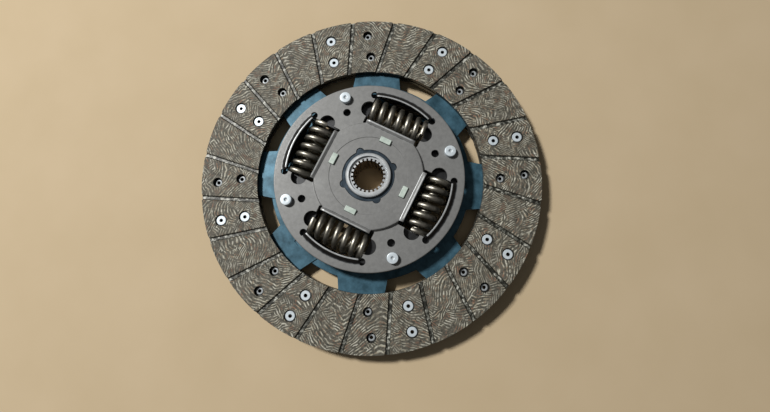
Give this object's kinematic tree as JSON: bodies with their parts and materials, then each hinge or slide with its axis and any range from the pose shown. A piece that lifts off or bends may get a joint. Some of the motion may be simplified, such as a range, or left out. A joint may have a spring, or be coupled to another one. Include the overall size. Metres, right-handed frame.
{
  "type": "clutch disc",
  "caption": "Sprung clutch disc with grooved riveted friction facings, coil spring damper and splined hub",
  "frame": {"origin": "on the hub's axis at the hub's rear end face, which the disc rests on", "axes": "+Z along the hub's axis from the drive plate towards the cover plate; the four spring windows lie on the X and Y axes"},
  "size_m": [0.24, 0.24, 0.025],
  "materials": {
    "friction_facing": "moulded fibre composite, ground flat",
    "zinc_rivet": "bright zinc plated",
    "blued_spring_steel": "blue tempered",
    "pressed_steel": "satin grey, phosphated",
    "oiled_spring_wire": "dark oil tempered",
    "machined_steel": "turned and broached",
    "bush_steel": "turned, cool grey",
    "pale_nylon": "moulded",
    "washer_steel": "rolled"
  },
  "bodies": {
    "disc": {"front_facing": "friction_facing", "rear_facing": "friction_facing", "front_facing_rivets": "zinc_rivet", "rear_facing_rivets": "zinc_rivet", "cushion_segment_1": "blued_spring_steel", "cushion_segment_2": "blued_spring_steel", "cushion_segment_3": "blued_spring_steel", "cushion_segment_4": "blued_spring_steel", "cushion_segment_5": "blued_spring_steel", "cushion_segment_6": "blued_spring_steel", "cushion_segment_7": "blued_spring_steel", "cushion_segment_8": "blued_spring_steel", "segment_rivets": "zinc_rivet", "drive_plate": "blued_spring_steel", "cover_plate": "pressed_steel", "stop_pins": "zinc_rivet", "front_bush": "bush_steel", "lug_washer": "pale_nylon", "cone_spring": "washer_steel", "rear_friction_washer": "washer_steel", "rear_bush": "pale_nylon"},
    "springs": {"damper_spring_1": "oiled_spring_wire", "damper_spring_2": "oiled_spring_wire", "damper_spring_3": "oiled_spring_wire", "damper_spring_4": "oiled_spring_wire", "inner_spring_2": "oiled_spring_wire", "inner_spring_4": "oiled_spring_wire"},
    "hub": {"splined_hub": "machined_steel"}
  },
  "joints": [
    {"name": "hub_twist", "type": "hinge", "parent": "disc", "child": "hub", "pos_m": [0, 0, 0.0135], "axis": [0, 0, 1], "range_deg": [-12, 7.5], "stiffness_Nm_per_rad": 50},
    {"name": "spring_shift", "type": "hinge", "parent": "disc", "child": "springs", "pos_m": [0, 0, 0.0135], "axis": [0, 0, 1], "range_deg": [-6.5, 4.5], "deforming": ["damper_spring_1", "damper_spring_2", "damper_spring_3", "damper_spring_4", "inner_spring_2", "inner_spring_4"]}
  ],
  "couplings": [
    {"joint": "spring_shift", "follows": "hub_twist", "ratio": 0.5}
  ]
}
